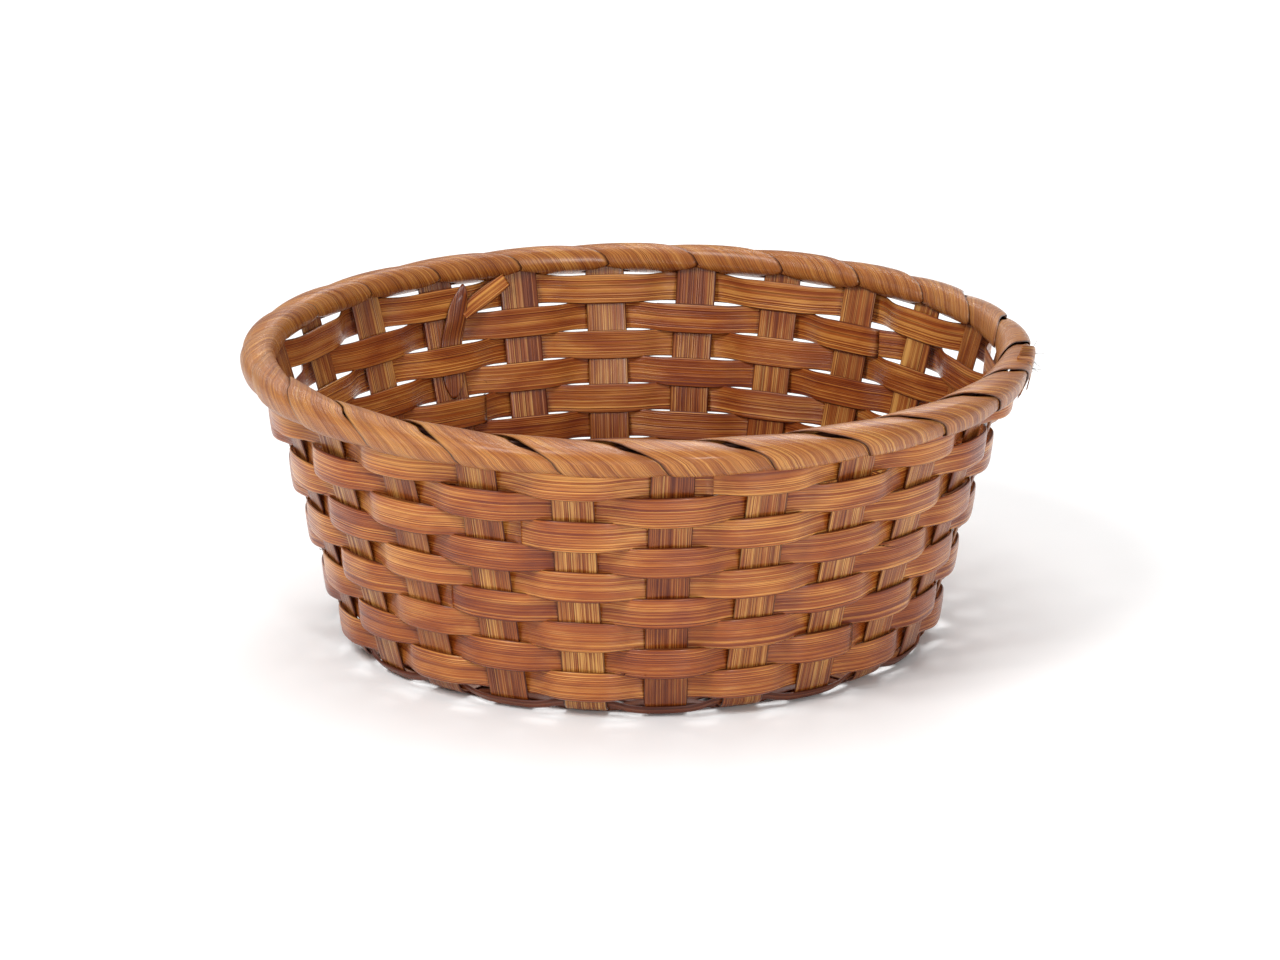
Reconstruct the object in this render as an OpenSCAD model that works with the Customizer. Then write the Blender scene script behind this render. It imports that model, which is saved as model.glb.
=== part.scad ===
// Round plaited basket of flat bamboo splints.
//
// Six splints are laid each way across the base and plaited over and under one another. Past the plaited
// square each splint fans out until it points straight away from the centre, is locked by a few rounds of
// narrow weaver, and is folded up as a stake of the wall. Every row of the wall is a flat strip of its own,
// taken in front of one stake and behind the next and lapped over its own start. At the mouth the stake
// ends stand between a flat inner hoop and a round rod, and one wide strip is lashed round all three,
// once in each gap between stakes.
//
// Frame: millimetres, +Z up, origin on the table under the centre of the base.

/* [Basket] */
// Diameter across the stakes at the middle of the rim
mouth_d = 217; // [190:1:264]
// Diameter across the stakes where they fold up from the base
base_d = 170.5; // [168:0.5:206]
// Rows of wide weaver up the wall
side_rows = 9; // [5:1:14]
// Rounds of narrow weaver lying flat in the base
base_rows = 3; // [1:1:3]

/* [Stakes] */
// Width of the splint that makes a stake at each of its ends
stake_w = 12.4; // [9:0.1:12.8]
// Thickness of that splint
stake_t = 0.9; // [0.6:0.05:1.2]
// Open gap between neighbouring splints in the plaited square
grid_gap = 2.8; // [2.4:0.1:3]
// Radius of the sideways bend that fans a splint out
fan_r = 18; // [12:1:24]
// Radius of the fold where a splint turns up to become a stake
turn_r = 4.2; // [2.8:0.1:5.6]

/* [Weavers] */
// Width of the strip that makes one row of the wall
weaver_w = 8.9; // [6:0.05:11]
// Thickness of that strip
weaver_t = 0.8; // [0.5:0.05:1.1]
// Lean of that strip, which stands more upright than the wall does
weaver_lean = 5; // [0:0.5:10]
// Height by which one row of the wall overlaps the next, on the other side of a stake
row_lap = 0.9; // [0:0.05:1.5]
// Stakes that a row passes twice, where its ends lap
lap_stakes = 3; // [1:1:5]
// Width of the narrow weaver in the base
narrow_w = 4.6; // [3:0.1:4.9]
// Gap between rounds of narrow weaver
narrow_gap = 0.6; // [0.2:0.1:0.8]
// Width of the weaver that lies in the fold
fold_weaver_w = 3.4; // [2:0.1:3.6]
// Where that weaver lies, as the angle that the stakes have turned through there
fold_at = 48; // [40:1:60]

/* [Rim] */
// Diameter of the rod outside the stakes
rod_d = 5; // [3:0.1:6.5]
// Thickness of the flat hoop inside the stakes
hoop_t = 1.1; // [0.8:0.1:2]
// Height of the flat hoop
hoop_h = 4.8; // [3:0.1:5]
// Thickness of the lashing strip
lash_t = 0.6; // [0.4:0.05:0.9]
// Width along the rim of the lashing where it passes between two stakes
lash_low_w = 12.6; // [8:0.2:13]
// Width along the rim of the lashing over the top
lash_top_w = 23; // [14:0.5:25]
// Height between the top row of the wall and the lashing
rim_gap = 0.8; // [0.4:0.1:3]

/* [Tucked splint] */
// Width of the short splint tucked in beside one stake
tuck_w = 7; // [4:0.5:10]
// Thickness of that splint
tuck_t = 0.7; // [0.4:0.05:0.9]
// Length of its pointed lower end
tuck_point = 4.5; // [1:0.5:6]

/* [Fit] */
// Clearance between pieces that lie against one another
fit_gap = 0.05; // [0.02:0.01:0.15]
// Clearance round the rod and the hoop inside the lashing
lash_room = 0.15; // [0.1:0.05:0.5]
// How far a strip runs flat past the edge of the splint that it crosses
edge_room = 0.3; // [0.2:0.05:0.45]

/* [Hidden] */
splints_each_way = 6;
stakes = 4 * splints_each_way;
stake_step = 360 / stakes;
half_count = splints_each_way / 2;

// Plaited square
grid_pitch = stake_w + grid_gap;
grid_lift = (stake_t + fit_gap) / 2;

// Levels of the base: its middle plane lies just high enough for the narrow weaver to touch the table
narrow_t = weaver_t;
narrow_lift = (stake_t + narrow_t) / 2 + fit_gap;
mid_z = max(grid_lift + stake_t / 2, narrow_lift + narrow_t / 2);

mouth_r = mouth_d / 2;

// Lashing: a flattened loop in the plane across the rim, with its own centre and half sizes.
// "out" runs square to the wall and away from the centre, "up" runs along the wall.
stake_sag = mouth_r - sqrt(pow(mouth_r, 2) - pow(stake_w / 2, 2));
rod_out = stake_t / 2 + fit_gap + stake_sag + rod_d / 2;
hoop_out = -(stake_t / 2 + fit_gap + hoop_t / 2);
lash_sag = mouth_r - sqrt(pow(mouth_r, 2) - pow(lash_top_w / 4, 2));
loop_far = rod_out + rod_d / 2 + lash_room + lash_sag + lash_t / 2;
loop_b = max(rod_d, hoop_h) / 2 + lash_room + lash_t / 2 + 0.8;
loop_steps = 14;
loop_power = 2 / 3;
// The loop is flattest at its middle height and draws in by this share of its half size at the hoop's edge,
// so its inner side is set from where it passes that edge
loop_draw = 1 - pow(1 - pow(hoop_h / 2 / loop_b, 2 / loop_power), loop_power / 2);
hoop_pass = hoop_out - hoop_t / 2 - lash_room - lash_t / 2 - 0.12;
loop_in = (hoop_pass - loop_far * loop_draw / 2) / (1 - loop_draw / 2);
loop_out = (loop_in + loop_far) / 2;
loop_a = (loop_far - loop_in) / 2;
lash_wraps = stakes;
lash_open = 0.08;
lash_dwell = 0.8;

// Wall: a straight slope from the middle plane of the base up to the middle of the rim
base_r = base_d / 2;
weaver_h = weaver_w * cos(weaver_lean) + weaver_t * sin(weaver_lean);
row_rise = weaver_h - row_lap;
rim_rise = turn_r + side_rows * row_rise + row_lap + rim_gap + loop_b + lash_t / 2;
lean = atan((mouth_r - base_r) / rim_rise);
rim_z = mid_z + rim_rise;
stake_top = rim_rise / cos(lean) + hoop_h / 2 - 0.2;

// A row's middle stands off the stake's middle far enough for its nearer edge to clear the stake
weaver_slant = lean - weaver_lean;
weaver_slack = weaver_w / 2 * abs(tan(weaver_slant));
weaver_lift = (stake_t / 2 + fit_gap) / cos(weaver_slant) + weaver_slack + weaver_t / 2;

// Two rows cross between stakes, so each is squeezed there to the height it has to itself. The squeeze starts
// this share of the way from one stake to the next.
crowd_at = 0.1;
crowd_gap = 0.15;
crowded_w = min(weaver_w, (row_rise - crowd_gap - weaver_t * sin(weaver_lean)) / cos(weaver_lean));

// Fold
turn_angle = 90 - lean;
turn_run = turn_r * tan(turn_angle / 2);
turn_steps = 5;
fold_reach = sqrt(pow(turn_r - stake_t / 2 - fit_gap, 2) - pow(fold_weaver_w / 2, 2)) - narrow_t / 2;
fold_lift_in = turn_r - fold_reach;

// Rows of the wall are counted from the rim down. The numbers are the stakes at which the rows start.
lap_starts = [16, 3, 14, 21, 8, 13, 0, 18, 10];

// The short splint is tucked behind this row at this stake
tuck_row = 3;
tuck_stake = 8;

SPLINTS = [for (n = [1 : splints_each_way]) n];

// Colours
splint_colour = "#b0753c";
weaver_colour = "#bd7f42";
rim_colour = "#c98d4c";

function sign_of(x) = x < 0 ? -1 : 1;
function around(radius, angle, z) = [radius * cos(angle), radius * sin(angle), z];
function unit(v) = v / norm(v);

// Solid strip through a list of outlines, each a list of the same number of points
module strip(outlines) {
    count = len(outlines);
    sides = len(outlines[0]);
    walls = [
        for (i = [0 : count - 2], k = [0 : sides - 1])
            let (a = i * sides + k, b = i * sides + (k + 1) % sides)
            each [[a, a + sides, b + sides], [a, b + sides, b]]
    ];
    ends = [
        for (k = [1 : sides - 2])
            let (last = (count - 1) * sides)
            each [[0, k, k + 1], [last, last + k + 1, last + k]]
    ];
    polyhedron([for (outline = outlines) each outline], concat(walls, ends), convexity = 6);
}

// Four corners of a flat strip, from its middle and its half width and half thickness as vectors
function corners(middle, half_w, half_t) = [
    middle - half_w - half_t,
    middle + half_w - half_t,
    middle + half_w + half_t,
    middle - half_w + half_t
];

// --- Stakes -----------------------------------------------------------------------------------------------

// A point of a splint is [x, y, z, heading, climb], for a splint that runs along +X past the middle
function crossing_side(j, k) = (round(j + k) % 2 == 0) ? 1 : -1;

function grid_points(j) = [
    for (k = [0.5 : 1 : half_count], e = [-1, 1])
        [k * grid_pitch + e * (stake_w / 2 + edge_room), j * grid_pitch,
         mid_z + crossing_side(j, k) * grid_lift, 0, 0]
];

function grid_points_back(j) = [
    for (k = [half_count - 0.5 : -1 : 0.5], e = [-1, 1])
        [-k * grid_pitch + e * (stake_w / 2 + edge_room), j * grid_pitch,
         mid_z + crossing_side(j, -k) * grid_lift, 0, 0]
];

// The sideways bend, from along X to straight away from the centre at the stake's own angle. It starts
// clear of the last crossing, so the outer splints bend more sharply.
function fan_points(j) =
    let (
        turn = j * stake_step,
        corner_x = j * grid_pitch / tan(turn),
        room = corner_x - (half_count - 0.5) * grid_pitch - stake_w / 2 - 2 * edge_room,
        run = min(fan_r * tan(abs(turn) / 2), room),
        radius = run / tan(abs(turn) / 2)
    )
    [for (f = [0 : 0.25 : 1])
        let (heading = turn * f)
        [corner_x - run + radius * sin(abs(heading)),
         j * grid_pitch + sign_of(j) * radius * (1 - cos(heading)), mid_z, heading, 0]];

// Up the wall: the fold, then the straight slope to inside the rim
function wall_points(j) =
    let (
        angle = j * stake_step,
        fold = [for (f = [0 : 1 / turn_steps : 1])
            let (climb = turn_angle * f)
            [base_r - turn_run + turn_r * sin(climb), mid_z + turn_r * (1 - cos(climb)), climb]],
        top = [base_r + stake_top * sin(lean), mid_z + stake_top * cos(lean), turn_angle]
    )
    [for (p = concat(fold, [top])) [p[0] * cos(angle), p[0] * sin(angle), p[1], angle, p[2]]];

function mirrored(points) = [
    for (i = [len(points) - 1 : -1 : 0])
        let (p = points[i])
        [-p[0], p[1], p[2], -p[3], -p[4]]
];

function splint_points(j) =
    let (arm = concat(fan_points(j), wall_points(j)))
    concat(mirrored(arm), grid_points_back(j), grid_points(j), arm);

function splint_outline(p) =
    let (
        across = [-sin(p[3]), cos(p[3]), 0],
        inward = [-sin(p[4]) * cos(p[3]), -sin(p[4]) * sin(p[3]), cos(p[4])]
    )
    corners([p[0], p[1], p[2]], across * stake_w / 2, inward * stake_t / 2);

module splint(n) {
    color(splint_colour)
        strip([for (p = splint_points(n - half_count - 0.5)) splint_outline(p)]);
}

module long_splint(n) {
    splint(n);
}

module cross_splint(n) {
    rotate([0, 0, 90])
        splint(n);
}

// --- Weavers ----------------------------------------------------------------------------------------------

// Which side of a stake a row passes: 1 outside, -1 inside. Rows of the wall are 1 to side_rows from the
// rim down, and the rounds of the base carry on counting.
function pass_side(row, stake) = ((row + stake) % 2 == 0) ? 1 : -1;

// One end of a row's flat stretch across a stake. at is [radius, z, tilt of the strip's width from upright]
function weaver_outline(stake, end, at, lift, width, thick) =
    let (
        angle = (stake + 0.5) * stake_step,
        away = [cos(angle), sin(angle), 0],
        along = [-sin(angle), cos(angle), 0],
        up = [0, 0, 1],
        rise = away * sin(at[2]) + up * cos(at[2]),
        out = away * cos(at[2]) - up * sin(at[2]),
        middle = away * at[0] + up * at[1] + out * lift + along * end * (stake_w / 2 + edge_room)
    )
    corners(middle, rise * width / 2, out * thick / 2);

// The row's distance from the stake. Where its ends lap, the later layer lies outside the earlier one, and
// one row gives way to the tucked splint.
function lap_lift(row, stake, j, lap, lift_out, lift_in, thick) =
    let (
        ply = thick + fit_gap,
        first = j < lap,
        second = j >= stakes,
        tucked = row == tuck_row && stake % stakes == tuck_stake
    )
    pass_side(row, stake) > 0
        ? lift_out + (second ? ply : 0)
        : -(lift_in + (first ? ply : 0) + (tucked ? (tuck_t + fit_gap) / cos(weaver_slant) : 0));

module weaver(row, start, lap, at, lift_out, lift_in, width, thick, crowded) {
    last = stakes + lap - 1;
    function flat_end(j, end, wide) =
        let (lift = lap_lift(row, start + j, j, lap, lift_out, lift_in, thick))
        weaver_outline(start + j, end, at, lift, wide, thick);
    function between(j, share) =
        (1 - share) * flat_end(j, 1, crowded) + share * flat_end(j + 1, -1, crowded);
    color(weaver_colour)
        strip([
            for (j = [0 : last])
                each concat(
                    [for (end = [-1, 1]) flat_end(j, end, width)],
                    crowded < width && j < last ? [between(j, crowd_at), between(j, 1 - crowd_at)] : []
                )
        ]);
}

function row_middle(n) = turn_r + weaver_h / 2 + (side_rows - n) * row_rise;

module side_weaver(n) {
    rise = row_middle(n);
    at = [base_r + rise * tan(lean), mid_z + rise, weaver_lean];
    weaver(n, lap_starts[(n - 1) % len(lap_starts)], lap_stakes, at, weaver_lift, weaver_lift,
           weaver_w, weaver_t, crowded_w);
}

// The narrow rounds lap at one stake only, on its upper side, so that nothing stands below the base
module fold_weaver() {
    row = side_rows + 1;
    at = [base_r - turn_run + turn_r * sin(fold_at), mid_z + turn_r * (1 - cos(fold_at)), 90 - fold_at];
    weaver(row, (row + 1) % 2, 1, at, narrow_lift, fold_lift_in, fold_weaver_w, narrow_t, fold_weaver_w);
}

module base_weaver(n) {
    row = side_rows + 1 + n;
    radius = base_r - turn_run - narrow_gap - narrow_w / 2 - (n - 1) * (narrow_w + narrow_gap);
    start = (row + 1) % 2 + 6 * n;
    weaver(row, start, 1, [radius, mid_z, 90], narrow_lift, narrow_lift, narrow_w, narrow_t, narrow_w);
}

// --- Tucked splint ----------------------------------------------------------------------------------------

// It stands inside one stake. Its point is pushed down behind one row, to just above the next row that passes
// inside, and its top leans out in front of the row at the rim. Each point is
// [rise above the base, distance in from the stake's middle, half width].
tuck_against = stake_t / 2 + fit_gap + tuck_t / 2;
tuck_front_row = tuck_row - 2;
function tuck_in_front(rise) =
    (weaver_lift + weaver_t / 2 + fit_gap + tuck_t / 2) / cos(weaver_slant)
    + tan(weaver_slant) * (rise - row_middle(tuck_front_row)) / cos(lean);

function tuck_points() =
    let (
        low = row_middle(tuck_row + 2) + weaver_h / 2 + 0.3,
        free = row_middle(tuck_row) + weaver_h / 2 + 0.5,
        front = row_middle(tuck_front_row),
        below = front - weaver_h / 2 - (weaver_lift + weaver_t) * abs(sin(weaver_slant)) - 0.5,
        tip = front + weaver_h / 2 - 0.2
    )
    [
        [low, tuck_against, 0.3],
        [low + tuck_point, tuck_against, tuck_w / 2],
        [free, tuck_against, tuck_w / 2],
        [below, max(tuck_against, tuck_in_front(below)), tuck_w / 2],
        [tip - tuck_point / 2, tuck_in_front(tip - tuck_point / 2), tuck_w / 2],
        [tip, tuck_in_front(tip), tuck_w / 5]
    ];

module tucked_splint() {
    angle = (tuck_stake + 0.5) * stake_step;
    away = [cos(angle), sin(angle), 0];
    along = [-sin(angle), cos(angle), 0];
    up = [0, 0, 1];
    color(splint_colour)
        strip([
            for (p = tuck_points())
                let (
                    foot = away * (base_r + p[0] * tan(lean)) + up * (mid_z + p[0]),
                    inward = -away * cos(lean) + up * sin(lean)
                )
                corners(foot + inward * p[1], along * p[2], inward * tuck_t / 2)
        ]);
}

// --- Rim --------------------------------------------------------------------------------------------------

// Children are drawn in the plane across the rim, with X out from the stakes and Y up along the wall
module round_the_rim() {
    rotate_extrude(angle = 359, $fn = 180)
        translate([mouth_r, rim_z])
            rotate(-lean)
                children();
}

module rim_inner_hoop() {
    color(rim_colour)
        round_the_rim()
            translate([hoop_out, 0])
                square([hoop_t, hoop_h], center = true);
}

module rim_rod() {
    color(rim_colour)
        round_the_rim()
            translate([rod_out, 0])
                circle(d = rod_d, $fn = 48);
}

// Turns counts wraps, from the gap where the strip passes under the rim. The strip crosses the gap almost
// square and slants along the rim over the top.
function lash_angle(turns) = stake_step * (turns - lash_dwell * sin(360 * turns) / 360 * 180 / PI);
function rounded(x) = sign_of(x) * pow(abs(x), loop_power);

function lash_outline(turns) =
    let (
        t = -90 - 360 * turns,
        out = loop_out + loop_a * rounded(cos(t)),
        up = loop_b * rounded(sin(t)),
        face = unit([sign_of(cos(t)) * pow(abs(cos(t)), 2 * loop_power) / loop_a,
                     sign_of(sin(t)) * pow(abs(sin(t)), 2 * loop_power) / loop_b]),
        share = (1 - cos(360 * turns)) / 2,
        half_w = (lash_low_w + (lash_top_w - lash_low_w) * share) / 2,
        side = half_w / mouth_r * 180 / PI,
        middle = lash_angle(turns)
    )
    [for (e = [[-1, -1], [0, -1], [1, -1], [1, 1], [0, 1], [-1, 1]])
        let (
            o = out + face[0] * e[1] * lash_t / 2,
            u = up + face[1] * e[1] * lash_t / 2
        )
        around(mouth_r + o * cos(lean) + u * sin(lean), middle + e[0] * side,
               rim_z - o * sin(lean) + u * cos(lean))];

module rim_lashing() {
    color(rim_colour)
        strip([for (i = [0 : lash_wraps * loop_steps])
            let (turns = lash_open + (lash_wraps - 2 * lash_open) * i / (lash_wraps * loop_steps))
            lash_outline(turns)]);
}

for (n = SPLINTS) {
    long_splint(n);
    cross_splint(n);
}
for (n = [1 : base_rows])
    base_weaver(n);
fold_weaver();
for (n = [1 : side_rows])
    side_weaver(n);
tucked_splint();
rim_inner_hoop();
rim_rod();
rim_lashing();
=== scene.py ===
# %% [markdown]
# # A plaited splint basket
#
# A basket like this is made of nothing but flat splints split from bamboo. Twelve long ones cross in the
# base and turn up as twenty-four stakes, rows of thinner strip go over and under them, and one wide strip
# is lashed round the rim. The whole look comes from how these strips lie on one another, so every strip
# here is laid on its own path, with its own slight faults.
#
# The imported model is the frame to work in. It says where each strip goes, and each detailed strip then
# stands in for one of its nodes.

import math

import bpy
import numpy as np
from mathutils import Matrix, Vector


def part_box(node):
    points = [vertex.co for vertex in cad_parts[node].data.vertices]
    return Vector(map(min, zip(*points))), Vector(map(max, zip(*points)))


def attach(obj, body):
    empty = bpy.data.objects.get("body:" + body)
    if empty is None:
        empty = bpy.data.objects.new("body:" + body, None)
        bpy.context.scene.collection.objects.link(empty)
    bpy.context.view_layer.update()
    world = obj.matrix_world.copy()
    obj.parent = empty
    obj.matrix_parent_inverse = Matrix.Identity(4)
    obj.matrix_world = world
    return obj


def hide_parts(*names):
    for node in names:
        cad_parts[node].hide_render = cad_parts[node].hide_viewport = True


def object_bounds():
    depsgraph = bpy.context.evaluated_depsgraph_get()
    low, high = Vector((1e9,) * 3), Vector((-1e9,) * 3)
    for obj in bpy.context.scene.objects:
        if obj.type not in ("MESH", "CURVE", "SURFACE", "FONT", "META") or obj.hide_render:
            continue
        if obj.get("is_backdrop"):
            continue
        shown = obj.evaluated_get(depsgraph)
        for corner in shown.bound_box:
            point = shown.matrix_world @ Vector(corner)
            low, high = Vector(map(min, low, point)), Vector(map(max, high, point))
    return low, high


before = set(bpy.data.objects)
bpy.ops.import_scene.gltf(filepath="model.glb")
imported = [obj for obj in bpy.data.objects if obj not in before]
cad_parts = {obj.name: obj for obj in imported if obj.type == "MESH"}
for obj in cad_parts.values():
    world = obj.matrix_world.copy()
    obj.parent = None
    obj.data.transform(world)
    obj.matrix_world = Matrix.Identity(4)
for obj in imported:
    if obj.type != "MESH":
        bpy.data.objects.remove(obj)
cad_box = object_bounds()
MM = 0.001

node_names = list(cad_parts)
SPLINTS = sum("_splint_" in name for name in node_names) // 2
ROWS = sum(name.startswith("side_weaver_") for name in node_names)
BASE_ROUNDS = sum(name.startswith("base_weaver_") for name in node_names)
STAKES = 4 * SPLINTS
STEP = 2 * math.pi / STAKES
print(f"{len(node_names)} nodes: {STAKES} stakes, {ROWS} rows, {BASE_ROUNDS} rounds in the base")

# %% [markdown]
# ## Sizes
#
# The widths and thicknesses are the maker's: they say what the splints were cut to. Places are read from
# the frame's boxes. The wall is a straight slope, so one radius and one slope place every row and stake.

# %% Sizes of the strips and places in the frame
STAKE_W, STAKE_T = 12.4 * MM, 0.9 * MM
GRID_GAP = 2.8 * MM
WEAVER_W, WEAVER_T = 8.9 * MM, 0.8 * MM
NARROW_W = 4.6 * MM
FOLD_W = 3.4 * MM
TURN_R = 4.2 * MM
TUCK_W, TUCK_T = 7.0 * MM, 0.7 * MM
WEAVER_LEAN = math.radians(5)
FIT = 0.05 * MM
PLY = WEAVER_T + FIT
TUCK_ROW, TUCK_STAKE = 3, 8


def middle_z(name):
    low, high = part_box(name)
    return (low.z + high.z) / 2


def reach(name):
    """How far a ring stands out from the centre, leaving out the places where its ends lap."""
    low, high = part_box(name)
    return min(-low.x, high.x, -low.y, high.y)


row_z = [middle_z(f"side_weaver_{n + 1}") for n in range(ROWS)]
row_reach = [reach(f"side_weaver_{n + 1}") for n in range(ROWS)]
WALL_SLOPE = (row_reach[0] - row_reach[-1]) / (row_z[0] - row_z[-1]) / math.cos(STEP / 2)
LEAN = math.atan(WALL_SLOPE)

hoop_low, hoop_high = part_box("rim_inner_hoop")
HOOP_T = 1.1 * MM
HOOP_H = (hoop_high.z - hoop_low.z - HOOP_T * math.sin(LEAN)) / math.cos(LEAN)
HOOP_Z = (hoop_low.z + hoop_high.z) / 2
HOOP_R = hoop_high.x - (HOOP_T * math.cos(LEAN) + HOOP_H * math.sin(LEAN)) / 2
hoop_in = STAKE_T / 2 + FIT + HOOP_T / 2
MOUTH_R = HOOP_R + hoop_in * math.cos(LEAN)
RIM_Z = HOOP_Z - hoop_in * math.sin(LEAN)

rod_low, rod_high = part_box("rim_rod")
ROD_D = rod_high.z - rod_low.z
ROD_R = rod_high.x - ROD_D / 2
ROD_Z = (rod_low.z + rod_high.z) / 2
MID_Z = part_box("base_weaver_1")[0].z + STAKE_T / 2 + FIT + WEAVER_T
BASE_R = MOUTH_R - WALL_SLOPE * (RIM_Z - MID_Z)


def wall_radius(z):
    return MOUTH_R - WALL_SLOPE * (RIM_Z - z)


print(f"rim radius {MOUTH_R / MM:.1f} mm at {RIM_Z / MM:.1f} mm, base radius {BASE_R / MM:.1f} mm")
print(f"lean {math.degrees(LEAN):.1f} degrees, middle of the base at {MID_Z / MM:.2f} mm")

# %% [markdown]
# ## Adding nodes
#
# Shader and geometry trees are built the same way: make a node, set what it has, then link what feeds it.
# One helper does all three, so each line below reads as one node.

# %% One helper for every kind of node
MATH = "ShaderNodeMath"


def add(tree, kind, sockets=None, **settings):
    """Adds a node. A socket given another socket, or a node for its first output, is linked to it, and any
    other value is set on it."""
    made = tree.nodes.new(kind)
    for name, value in settings.items():
        setattr(made, name, value)
    for key, value in (sockets or {}).items():
        source = value.outputs[0] if isinstance(value, bpy.types.Node) else value
        if isinstance(source, bpy.types.NodeSocket):
            tree.links.new(source, made.inputs[key])
        else:
            made.inputs[key].default_value = value
    return made


def linear(colour):
    """An sRGB hex colour as the linear one that a shader mixes."""
    parts = [int(colour[i:i + 2], 16) / 255 for i in (1, 3, 5)]
    return [c / 12.92 if c <= 0.04045 else ((c + 0.055) / 1.055) ** 2.4 for c in parts] + [1.0]


# %% [markdown]
# ## Stained bamboo splint
#
# A splint is split along the stem, so its fibres run its whole length: pale bundles a few tenths of a
# millimetre wide, with darker stain caught between them. The stain is brushed on and wiped, so it is
# uneven along a strip; painted shade darkens it where one strip dives under another. Over it lies a thin
# varnish.
#
# The pattern could be an image, but noise stretched along the strip gives the same look at any distance.
# Each strip carries a UV map in metres, along and across, and the noise is scaled from that, so a fibre
# has its true width on every piece. Three numbers ride on the strip as attributes: one says how much stain
# and painted shade darken each place, `tone` how pale or red the strip is there, and `edge` how near to its
# edges a place is.

# %% The splint material
MIXED_MIDDLE, MIXED_SPAN = 0.55, 0.17
TONE_PULL = 0.75
# The dark colour that stain, and painted shade in crevices and at overlaps, bring a strip towards
STAIN_AND_SHADE_DARK = "#3f1205"
GRAIN_DEPTH = 0.26 * MM


def splint_material(name, pale, middle, dark, roughness, coat, fibre, contrast):
    """Stained bamboo: fibres of the width given in mm, in the three colours that stain gives them."""
    material = bpy.data.materials.new(name)
    material.use_nodes = True
    tree = material.node_tree
    tree.nodes.clear()

    place = add(tree, "ShaderNodeUVMap", uv_map="UVMap")
    axes = add(tree, "ShaderNodeSeparateXYZ", {0: place}).outputs
    tone, stain_and_shade, edge = (add(tree, "ShaderNodeAttribute", attribute_name=name).outputs["Fac"]
                         for name in ("tone", "stain_and_shade", "edge"))

    def streaks(across_mm, along_mm, detail, roughness=0.55, distortion=0.0):
        """Noise drawn out along the strip, with the size of one streak in mm."""
        x = add(tree, MATH, {0: axes["X"], 1: 1 / (along_mm * MM)}, operation="MULTIPLY")
        y = add(tree, MATH, {0: axes["Y"], 1: 1 / (across_mm * MM)}, operation="MULTIPLY")
        spot = add(tree, "ShaderNodeCombineXYZ", {"X": x, "Y": y, "Z": 0.0})
        return add(tree, "ShaderNodeTexNoise", {
            "Vector": spot, "Scale": 1.0, "Detail": detail, "Roughness": roughness,
            "Distortion": distortion})

    # Broad bands of stain, single fibres, hair-fine lines between fibres, long blotches, and specks
    bands = streaks(1.6, 600, 2)
    fibres = streaks(fibre, 500, 2, 0.6)
    hairs = streaks(fibre * 0.9, 300, 1, 0.5)
    blotches = streaks(7, 22, 3, 0.5, 0.4)
    specks = streaks(0.5, 2.2, 2, 0.5)
    mixed = 0.0
    for pattern, weight in ((bands, 0.20), (fibres, 0.58), (blotches, 0.32)):
        mixed = add(tree, MATH, {0: pattern, 1: weight, 2: mixed}, operation="MULTIPLY_ADD")

    # Each pattern is brought from the range where it matters to the amount that it gives: all of the colours,
    # dark lines where stain sits between fibres, specks, stain and painted shade at the cut edges, and
    # roughness
    span = MIXED_SPAN / contrast
    level, lines, dots, edge_stain_and_shade, rough = (
        add(tree, "ShaderNodeMapRange", {
            "Value": value, "From Min": low, "From Max": high, "To Min": to_low, "To Max": to_high})
        for value, low, high, to_low, to_high in (
            (mixed, MIXED_MIDDLE - span, MIXED_MIDDLE + span, 0.0, 1.0),
            (hairs, 0.36, 0.47, 0.72, 0.0),
            (specks, 0.74, 0.80, 0.0, 0.8),
            (edge, 0.84, 1.0, 0.0, 0.85),
            (fibres, 0.35, 0.65, roughness + 0.12, roughness - 0.10)))
    lifted = add(tree, MATH, {0: tone, 1: 0.5}, operation="SUBTRACT")
    level = add(tree, MATH, {0: lifted, 1: TONE_PULL, 2: level}, operation="MULTIPLY_ADD")
    ramp = add(tree, "ShaderNodeValToRGB", {"Fac": level})
    ramp.color_ramp.elements[0].color = linear(dark)
    ramp.color_ramp.elements[1].color = linear(pale)
    ramp.color_ramp.elements.new(0.5).color = linear(middle)

    # Stain, and painted shade where strips dive under one another and along their edges, darken the colour
    darkened_by_stain_and_shade = add(tree, MATH, {0: edge_stain_and_shade, 1: stain_and_shade}, use_clamp=True)
    colour = ramp.outputs["Color"]
    for amount, over in ((lines, dark), (dots, dark), (darkened_by_stain_and_shade, STAIN_AND_SHADE_DARK)):
        mix = add(tree, "ShaderNodeMix", {0: amount, 6: colour, 7: linear(over)}, data_type="RGBA")
        colour = mix.outputs[2]

    # Fibres stand proud of the stain between them. Light glances off them as off hair, so a highlight is
    # drawn out across the fibres.
    fibre_way = add(tree, "ShaderNodeTangent", direction_type="UV_MAP", uv_map="UVMap")
    grain = add(tree, MATH, {0: fibres, 1: hairs})
    bump = add(tree, "ShaderNodeBump", {"Height": grain, "Distance": GRAIN_DEPTH, "Strength": 0.9})
    shader = add(tree, "ShaderNodeBsdfPrincipled", {
        "Base Color": colour, "Roughness": rough, "Normal": bump,
        "IOR": 1.5, "Specular IOR Level": 0.34, "Coat Weight": coat, "Coat Roughness": 0.24,
        "Coat IOR": 1.5, "Anisotropic": 0.7, "Anisotropic Rotation": 0.25, "Tangent": fibre_way})
    add(tree, "ShaderNodeOutputMaterial", {"Surface": shader})
    return material


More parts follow.
